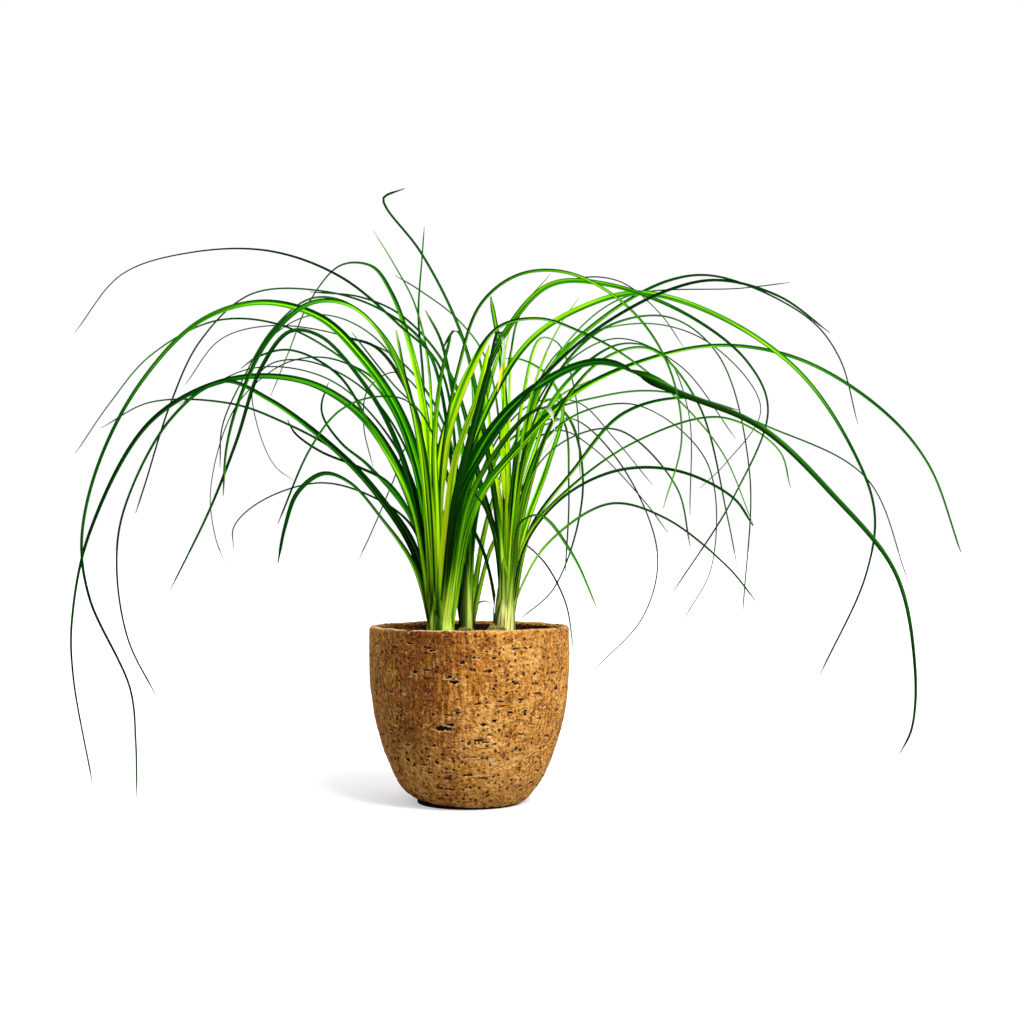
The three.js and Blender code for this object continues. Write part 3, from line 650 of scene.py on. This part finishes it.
leaf = {
    "ringStep": 4.0, "fold": 0.17, "thickness": 0.45, "taper": 1.35,
    "toFront": 1.5,  # how far a blade that leans to one side turns its face to the front
    # across the top from edge to edge, then back underneath: how far out, sunk and under
    "section": [(-1, 0, 0), (-0.52, 0.62, 0), (0, 1, 0), (0.52, 0.62, 0), (1, 0, 0),
                (0.5, 0.62, 1), (0, 1, 1.5), (-0.5, 0.62, 1)],
    "wobble": 13, "wobbles": (0.8, 1.8),  # degrees that a blade rolls to and fro, and how often
    "leastSheath": 4.5, "sheathRun": 55,  # a root is this wide at least, and is a sheath for this length
    "claspRun": 70, "claspFold": 1.2,  # length over which the folded root opens out
    "pointRun": 14,  # length of the point at the tip
    "bandRun": (90, 40), "creamRun": 100,  # the stem's colours end here along each blade
    "droopShade": (0.68, 0.66),  # painted shade: how much darker a blade is on its way down, to the left and to the right
    # painted shade on one half and along the edges, a paler middle rib, partly its own colour and partly
    # painted highlight, and a random drift
    "contrast": (0.08, 0.26), "paleMidribAndHighlight": 0.15, "edgeShade": 0.30, "drift": 0.10,
    "dryRun": (4, 18), "dryness": (0.0, 0.4),  # the brown tips
    "greens": [(0.0, (0.000, 0.016, 0.000)), (0.2, (0.001, 0.078, 0.001)), (0.45, (0.044, 0.30, 0.001)),
               (0.7, (0.30, 0.77, 0.002)), (1.0, (0.74, 1.00, 0.010))],
    "foot": (0.72, 0.95, 0.06), "cream": (0.96, 0.94, 0.32), "scale": (0.34, 0.20, 0.05),
    # the pale colour is that of a painted highlight
    "under": (0.10, 0.24, 0.02), "dry": (0.16, 0.10, 0.05), "pale": (0.46, 0.56, 0.38),
    "scar": (0.90, 0.66, 0.04), "bump": 0.0001,
    # what sets single leaves apart, by palm and place in the list, at shares along the leaf; a pale span is a
    # painted highlight, a darkening span painted shade
    "marks": {
        ("left", 24): {"pinch": (0.70, 0.5), "pale": (0.85, 0.92), "scar": (0.925, 0.985)},
        ("left", 29): {"twist": (0.44, 0.04, -180), "shadeFrom": (0.30, 0.35)},
        ("left", 31): {"pinch": (0.42, 0.6), "shadeFrom": (0.42, 0.35)},
        ("left", 32): {"pinch": (0.82, 0.12), "pale": (0.82, 1.1)},
        ("right", 10): {"shadeFrom": (0.6, 0.6)},
        ("right", 14): {"shadeFrom": (0.28, 0.5)},
    },
}


bulb = {
    "columns": 120, "rowStep": 0.7,
    "ringSpacing": 2.3, "ringHeight": 0.22,  # scars of old leaf bases
    "scaleLength": 5, "scaleHeight": 0.35, "lumpLength": 14, "lumpHeight": 0.35,
    "bark": [(0.25, (0.05, 0.030, 0.008)), (0.5, (0.24, 0.19, 0.04)),
             (0.7, (0.44, 0.40, 0.10)), (0.9, (0.66, 0.58, 0.30))],
    "fresh": (0.36, 0.42, 0.10), "groove": (0.05, 0.028, 0.012), "bump": 0.0006,
}


def bulbProfile(palm):
    middle = palm["bulbTop"] - palm["bulbRise"]
    radius, rise = palm["bulbRadius"], palm["bulbRise"]
    angles = np.linspace(0, math.pi / 2, 40)
    dome = np.stack([radius * np.cos(angles) ** 0.9, middle + rise * np.sin(angles)], -1)
    root = np.array([[radius * 0.55, middle - rise * 1.9], [radius * 0.9, middle - rise],
                     [radius * 0.99, middle - 2]])
    profile = np.concatenate([root, dome])
    return evenly(profile[profile[:, 0] > palm["neckRadius"] * 0.5], bulb["rowStep"])


def makeBulb(side, palm, material):
    profile, columns = bulbProfile(palm), bulb["columns"]
    flat = turned(profile[:, :1], profile[:, 1:], ringAngles(columns))
    height = flat[..., 2]
    lumps = ripple(flat.reshape(-1, 3), bulb["lumpLength"], palm["seed"]).reshape(height.shape)
    rings = np.sin((height + lumps * 1.1) * math.tau / bulb["ringSpacing"])
    tall = flat.reshape(-1, 3) * (1, 1, 2.5)
    scales = ripple(tall, bulb["scaleLength"], palm["seed"] + 1, 30).reshape(height.shape)
    lift = bulb["ringHeight"] * np.clip(rings, -0.4, 1) + bulb["scaleHeight"] * np.abs(scales)
    lift = lift * palm["scaly"] + bulb["lumpHeight"] * lumps
    ones = np.ones((len(profile), 1))
    outwards = turned(ones, 0.35 * ones, ringAngles(columns))
    points = (flat + outwards * lift[..., None]).reshape(-1, 3)
    points[:, :2] += palm["bulb"]
    up = smooth((height - palm["bulbTop"] + palm["bulbRise"]) / palm["bulbRise"]).ravel()
    attributes = {"up": up, "ringed": (0.5 + 0.5 * rings).ravel()}
    return makePiece(side + "Bulb", points * mm, tubeFaces(len(profile), columns), attributes, material, 70)


def barkMaterial():
    material, tree, shader = newMaterial("bulbBark", Roughness=0.75, Specular_IOR_Level=0.25)
    patches = useGroup(tree, mottle, Scale=130.0, Stretch=(1, 1, 2), Contrast=2.4, Detail=6.0)
    flakes = useGroup(tree, mottle, Scale=700.0, Stretch=(1, 1, 2.5), Contrast=2.0, Detail=4.0)
    tone = weighted(tree, (patches, 0.6), (flakes, 0.4))
    fresh = spread(tree, attribute(tree, "up"), 0.75, 1.0, 0.0, 0.55)
    rings = spread(tree, attribute(tree, "ringed"), 0.0, 0.35, 0.6, 0.0)
    colour = colourRamp(tree, tone, bulb["bark"])
    colour = layered(tree, colour, (fresh, bulb["fresh"]), (rings, bulb["groove"]))
    coat(tree, shader, colour, calc(tree, "ADD", flakes, patches), bulb["bump"])
    return material


bark = barkMaterial()
for side, palm in palms.items():
    dress(makeBulb(side, palm, bark), "bark", side + "_bulb")


eye = np.array([36, -1370, 223], float)  # where the routes are drawn from


def atDepth(x, z, y):  # a point of the front view, carried along the line of sight to its own depth
    reach = (y - eye[1]) / -eye[1]
    return np.stack([eye[0] + (x - eye[0]) * reach, y, eye[2] + (z - eye[2]) * reach], -1)


def frontView(point):
    reach = (point[1] - eye[1]) / -eye[1]
    return [eye[0] + (point[0] - eye[0]) / reach, eye[2] + (point[2] - eye[2]) / reach]


def throughPoints(drawn, perSpan=24):  # the centripetal curve through the points, the same as the solid's
    points = np.array([2 * drawn[0] - drawn[1], *drawn, 2 * drawn[-1] - drawn[-2]])
    t = np.linspace(0, 1, perSpan, endpoint=False)[:, None]
    pieces = []
    for p0, p1, p2, p3 in zip(points, points[1:], points[2:], points[3:]):
        gap0, gap1, gap2 = (math.sqrt(np.linalg.norm(b - a)) for a, b in ((p0, p1), (p1, p2), (p2, p3)))
        leave = ((p1 - p0) / gap0 - (p2 - p0) / (gap0 + gap1) + (p2 - p1) / gap1) * gap1
        arrive = ((p2 - p1) / gap1 - (p3 - p1) / (gap1 + gap2) + (p3 - p2) / gap2) * gap1
        pieces.append(arc(p1, p2, leave, arrive, t))
    return np.concatenate([*pieces, [drawn[-1]]])


def leafLine(palm, depth, route):
    neckX, neckY = palm["neck"]
    heading = unit(np.array([route[-1][0] - neckX, depth], float))
    lean = min(1, abs(route[0][0] - neckX) / 25)
    inset = palm["neckRadius"] * 0.6 * lean
    root = (neckX + heading[0] * inset, neckY + heading[1] * inset,
            min(palm["bulbTop"] - 9, route[0][1] - 8))
    curve = throughPoints(np.array([frontView(root), *route], float))
    line = evenly(curve, leaf["ringStep"])
    share = np.linspace(0, 1, len(line))
    y = root[1] + (depth + neckY - root[1]) * smooth(share)
    return atDepth(line[:, 0], line[:, 1], y), share, heading, lean


def leafWidth(width, tip, share, length, pinch):  # a sheath at the root, broadest above it, a fine tip
    sheathEnd = min(0.3, leaf["sheathRun"] / length)
    sheath = max(width * 0.8, leaf["leastSheath"]) * (1 - smooth(share / sheathEnd))
    blade = width * (tip / width) ** (np.clip((share - 0.1) / 0.9, 0, 1) ** leaf["taper"])
    if pinch:
        blade *= 1 - (1 - pinch[1]) * smooth((share - pinch[0]) / 0.06)
    point = smooth((share * length - length + leaf["pointRun"]) / leaf["pointRun"])
    return np.maximum(sheath, blade) * (1 - 0.6 * point)


def neckRadius(palm, height):  # stout above the bulb, soon gone between the blades
    heights = [palm["bulbTop"] + rise for rise in neck["heights"]]
    return np.interp(height, heights, [palm["neckRadius"] * share for share in neck["shares"]])


def rolled(face, along, angle):
    side = np.cross(along, face)
    return face * np.cos(angle)[:, None] + side * np.sin(angle)[:, None]


def wrapped(palm, rings, layer, thick):  # the root of a blade lies round the neck, outside it
    offset = rings[..., :2] - palm["neck"]
    distance = np.maximum(np.linalg.norm(offset, axis=-1), 0.01)
    outer = neckRadius(palm, rings[..., 2]) + layer + thick
    pushed = np.maximum(distance, outer)
    rings[..., :2] = palm["neck"] + offset * (pushed / distance)[..., None]
    return rings


def banded(palm, rings, run, shade, footShade):  # lime and dark stripes up the stem, to where it opens: the sheaths' own colours with painted light on the right and painted shade on the left
    across = (rings[..., 0] - palm["neck"][0]) / palm["neckRadius"]
    lime = np.interp(across, *palm["bands"])
    start, fall = leaf["bandRun"]
    low = 1 - smooth((rings[..., 2] - palm["bulbTop"] - 8) / palm["bandHeight"])
    low = low * (1 - smooth((run - start) / fall)) * (1 - smooth((np.abs(across) - 1.2) / 1.6)) * 0.95
    return (shade * (1 - low) + (0.02 + 0.72 * lime) * low, footShade * (1 - low) + lime * low,
            palm["cream"] * (0.03 + 0.97 * lime))


def everywhere(shape, attributes):  # one value for every point
    return {key: np.broadcast_to(value, shape).ravel() for key, value in attributes.items()}


def between(share, ends):  # 1 from the first share to the second, 0 elsewhere
    return smooth((share - ends[0]) / 0.02) * (1 - smooth((share - ends[1]) / 0.02)) if ends else 0 * share


def makeBlade(palm, width, tip, depth, tone, route, marks, draw):
    points, share, heading, lean = leafLine(palm, depth, route)
    along = unit(np.gradient(points, axis=0))
    length = np.linalg.norm(np.diff(points, axis=0), axis=1).sum()
    column = share[:, None]
    run = column * length
    across = np.array([heading[1], -heading[0], 0])
    face = unit(np.cross(across, along)) + (0, -leaf["toFront"] * abs(heading[0]), 0)
    face = unit(face - along * (face * along).sum(-1, keepdims=True))
    turns = draw.uniform(*leaf["wobbles"])
    roll = np.sin(share * turns * math.tau + draw.uniform(0, 6.28)) * smooth(share / 0.2)
    roll = np.radians(leaf["wobble"] * draw.uniform(0.5, 1.3)) * roll
    if "twist" in marks:
        middle, span, degrees = marks["twist"]
        roll = roll + math.radians(degrees) * smooth((share - middle + span) / (2 * span))
    face = rolled(face, along, roll)
    side = np.cross(along, face)
    half = leafWidth(width, tip, share, length, marks.get("pinch"))[:, None] / 2
    clasp = 1 + leaf["claspFold"] * (1 - smooth(run / leaf["claspRun"]))  # folded round the neck
    fold = half * 2 * leaf["fold"] * clasp
    thick = np.minimum(leaf["thickness"], half * 0.55)
    rings = np.stack([points + side * half * out - face * (fold * sink + thick * under)
                      for out, sink, under in leaf["section"]], 1)
    outs, _, unders = np.array(leaf["section"], float).T
    unders = np.sign(unders)
    layer = 2.0 * lean + draw.uniform(0, 0.5)  # the lowest leaves are the oldest and clasp the others
    rings = wrapped(palm, rings, layer, unders * thick)
    faces = [face[::-1] for face in tubeFaces(*rings.shape[:2])]
    shadedHalf = -outs * np.sign(heading[0])  # the half that lies uppermost where the blade arches, darkened as painted shade
    # how much darker the uppermost half is: painted shade
    contrast = draw.uniform(*leaf["contrast"])
    # a paler middle rib, partly its own colour and partly painted highlight, and darker edges, painted shade
    # between the leaves
    paleMidribAndHighlight = leaf["paleMidribAndHighlight"] * tone * (1 - np.abs(outs)) ** 2 * (1 - unders)
    edgeShade = leaf["edgeShade"] * np.abs(outs) ** 3 - 0.06 - paleMidribAndHighlight
    drift = leaf["drift"] * np.sin(share * draw.uniform(4, 9) + draw.uniform(0, 6.28))
    reach = abs(route[-1][0] - palm["neck"][0])
    droopShade = leaf["droopShade"][0 if heading[0] < 0 else 1] * smooth((share - 0.38) / 0.4) * smooth((reach - 50) / 60)
    droopShade = np.maximum(droopShade, 0.4 * smooth((share - 0.35) / 0.5))  # near the stem the painted shade is less
    # painted shade that darkens single blades past a share along them
    if "shadeFrom" in marks:
        start, left = marks["shadeFrom"]
        droopShade = 1 - (1 - droopShade) * (1 - (1 - left) * smooth((share - start) / 0.08))
    shade = (tone * (1 - droopShade) + drift * (0.2 + tone))[:, None]
    near = (1 - smooth(run / palm["footLength"])) * (1 - smooth(column / 0.6))
    footShade = near * np.clip(1.8 * tone - 0.1, 0, 1)
    shade, footShade, cream = banded(palm, rings, run, shade, footShade)
    shade = shade - (contrast * shadedHalf + edgeShade) * (0.35 + 0.65 * tone)
    # the lime base is darker along the edges too: painted shade between the leaves
    footShade = footShade * (1 - 0.85 * np.abs(outs) ** 3)
    dry = smooth((column - 1 + draw.uniform(*leaf["dryRun"]) / length) / (8 / length))
    dry = dry * draw.uniform(*leaf["dryness"])
    attributes = {"tone": shade, "foot": footShade, "dry": dry, "under": unders, "side": outs * half,
                  "run": run, "height": rings[..., 2] - palm["bulbTop"], "seed": draw.uniform(0, 10),
                  "cream": cream * (1 - smooth(run / leaf["creamRun"])),
                  "pale": between(column, marks.get("pale")), "scar": between(column, marks.get("scar"))}
    return rings.reshape(-1, 3), faces, everywhere(rings.shape[:2], attributes)


def makeNeck(palm, draw):  # the rolled sheaths that the blades stand out of
    low, top = (palm["bulbTop"] + rise for rise in neck["span"])
    heights = np.linspace(low, top, neck["rows"])[:, None]
    angles = ringAngles(neck["columns"])
    turn = (angles * neck["sheaths"] / math.tau + (heights - low) * neck["climb"] + draw.uniform(0, 1)) % 1
    around = np.maximum(neckRadius(palm, heights) * 0.93 + neck["sheathStep"] * turn, 0.1)
    points = turned(around, heights, angles)
    points[..., :2] += palm["neck"]
    rise = smooth((heights - palm["bulbTop"]) / 50)
    shade, footShade, cream = banded(palm, points, 0, 0.2 - 0.2 * rise, 1 - rise)
    # a dark line beside each sheath's edge is painted shade where it overlaps the next
    attributes = {"tone": shade - 0.5 * (turn < 0.1), "foot": footShade, "cream": cream, "run": heights,
                  "side": angles * palm["neckRadius"], "height": heights - palm["bulbTop"], "seed": 5.0,
                  "dry": 0, "under": 0, "pale": 0, "scar": 0}
    return points.reshape(-1, 3), tubeFaces(*turn.shape), everywhere(turn.shape, attributes)


def makeFoliage(side, palm, material):
    draw = np.random.default_rng(palm["seed"] + 100)
    parts = [makeNeck(palm, draw)]
    for index, (width, tip, depth, tone, *route) in enumerate(palmLeaves[side]):
        marks = leaf["marks"].get((side, index), {})
        parts.append(makeBlade(palm, width, tip, depth, tone, route, marks, draw))
    faces, start = [], 0
    for partPoints, partFaces, _ in parts:
        faces += [[start + corner for corner in face] for face in partFaces]
        start += len(partPoints)
    points = np.concatenate([part[0] for part in parts])
    attributes = {key: np.concatenate([part[2][key] for part in parts]) for key in parts[0][2]}
    return makePiece(side + "Foliage", points * mm, faces, attributes, material)


def leafMaterial():
    material, tree, shader = newMaterial("palmLeaf", Roughness=0.40, Specular_IOR_Level=0.02,
                                         Specular_Tint=(0.55, 1.0, 0.35, 1))
    side, run, seed = (attribute(tree, name) for name in ("side", "run", "seed"))
    along = {"Side": side, "Run": run, "Seed": seed}
    fine = useGroup(tree, fibres, **along, Spacing=1.1, Length=110.0, Contrast=2.6)
    broad = useGroup(tree, fibres, **along, Spacing=2.8, Length=190.0, Contrast=3.0)
    streaks = weighted(tree, (centred(tree, fine), 0.5), (centred(tree, broad), 0.8))
    tone = attribute(tree, "tone")
    depth = spread(tree, tone, 0.0, 0.6, 0.4, 1.0)
    tone = calc(tree, "ADD", tone, times(tree, streaks, depth), clamp=True)
    foot = times(tree, attribute(tree, "foot"), spread(tree, broad, 0.15, 0.75, 0.0, 1.0))
    cream = times(tree, spread(tree, attribute(tree, "height"), 2.0, 46.0, 1.0, 0.0),
                 times(tree, attribute(tree, "cream"), spread(tree, fine, 0.1, 0.5)))
    scale = times(tree, spread(tree, attribute(tree, "height"), 0.0, 8.0, 0.7, 0.0),
                 times(tree, attribute(tree, "cream"), spread(tree, broad, 0.4, 0.7)))
    scar = times(tree, attribute(tree, "scar"), spread(tree, broad, 0.25, 0.5, 0.4, 1.0))
    # pale: a painted highlight on single blades
    under, pale = times(tree, attribute(tree, "under"), 0.05), times(tree, attribute(tree, "pale"), 0.8)
    layers = {"foot": foot, "cream": cream, "scale": scale, "under": under, "dry": attribute(tree, "dry"),
              "pale": pale, "scar": scar}
    colour = layered(tree, colourRamp(tree, tone, leaf["greens"]),
                     *((share, leaf[name]) for name, share in layers.items()))
    coat(tree, shader, colour, fine, leaf["bump"])
    return material


leafSkin = leafMaterial()
for side, palm in palms.items():
    dress(makeFoliage(side, palm, leafSkin), "leaf", side + "_leaves")


studio = {"floorWidth": 60, "floorSeen": 0.62, "floorGlow": 0.40, "floorBounce": 0.30,
          "sky": {"towards": (0.80, -0.25, 0.55), "darkest": 0.02, "brightest": 1.5},
          "sun": {"towards": (0.38, -0.52, 0.765), "spread": 20, "strength": 3.2},
          "rim": {"place": (-1.4, 1.4, 1.1), "size": 1.2, "power": 3}}


def floorMaterial():  # looks white, yet throws little light up at the plant
    material, tree, shader = newMaterial("paleFloor", Roughness=0.9, Specular_IOR_Level=0.0)
    shader["Base Color"].default_value = (*[studio["floorBounce"]] * 3, 1)
    paper = useGroup(tree, mottle, Scale=300.0, Contrast=0.3, Detail=3.0)
    grey = spread(tree, paper, 0, 1, studio["floorSeen"] - 0.02, studio["floorSeen"])
    seen = addNode(tree, "ShaderNodeBsdfDiffuse", {"Color": grey})
    glow = addNode(tree, "ShaderNodeEmission", {"Strength": studio["floorGlow"]})
    bright = addNode(tree, "ShaderNodeAddShader", {0: seen.outputs[0], 1: glow.outputs[0]})
    path = addNode(tree, "ShaderNodeLightPath").outputs["Is Camera Ray"]
    bounced = tree.nodes["Principled BSDF"].outputs[0]
    mix = addNode(tree, "ShaderNodeMixShader", {0: path, 1: bounced, 2: bright.outputs[0]})
    tree.links.new(mix.outputs[0], tree.nodes["Material Output"].inputs["Surface"])
    return material


def makeFloor():
    half = studio["floorWidth"] / 2
    corners = [(-half, -half, 0), (half, -half, 0), (half, half, 0), (-half, half, 0)]
    obj = makePiece("floor", corners, [(0, 1, 2, 3)], {}, floorMaterial())


def addLight(name, kind, place, aim, **settings):
    data = bpy.data.lights.new(name, kind)
    for key, value in settings.items():
        setattr(data, key, value)
    obj = newObject(name, data)
    obj.location = place
    x, y, z = np.array(aim, float) - place
    obj.rotation_euler = (math.atan2(math.hypot(x, y), -z), 0, math.atan2(y, x) - math.pi / 2)


def lightWorld():  # brightest over the right shoulder; the camera itself sees plain white
    world = bpy.data.worlds.new("studio")
    world.use_nodes = True
    tree = world.node_tree
    sky = studio["sky"]
    lit = tree.nodes["Background"]
    lit.inputs["Color"].default_value = (1, 1, 1, 1)
    direction = addNode(tree, "ShaderNodeTexCoord").outputs["Generated"]
    inputs = {0: direction, 1: sky["towards"]}
    towards = addNode(tree, "ShaderNodeVectorMath", inputs, operation="DOT_PRODUCT").outputs["Value"]
    strength = spread(tree, towards, -1, 1, sky["darkest"], sky["brightest"], "LINEAR")
    tree.links.new(strength, lit.inputs["Strength"])
    seen = addNode(tree, "ShaderNodeBackground", {"Color": (1, 1, 1, 1), "Strength": 1.0})
    path = addNode(tree, "ShaderNodeLightPath").outputs["Is Camera Ray"]
    mix = addNode(tree, "ShaderNodeMixShader", {0: path, 1: lit.outputs[0], 2: seen.outputs[0]})
    tree.links.new(mix.outputs[0], tree.nodes["World Output"].inputs["Surface"])
    scene.world = world


makeFloor()
sun, rim = studio["sun"], studio["rim"]
addLight("sun", "SUN", sun["towards"], (0, 0, 0), angle=math.radians(sun["spread"]), energy=sun["strength"])
addLight("rim", "AREA", rim["place"], (0, 0, 0.25), shape="DISK", size=rim["size"], energy=rim["power"])
lightWorld()
scene.view_settings.view_transform = "Standard"
print("studio: floor, sky, sun and rim light")
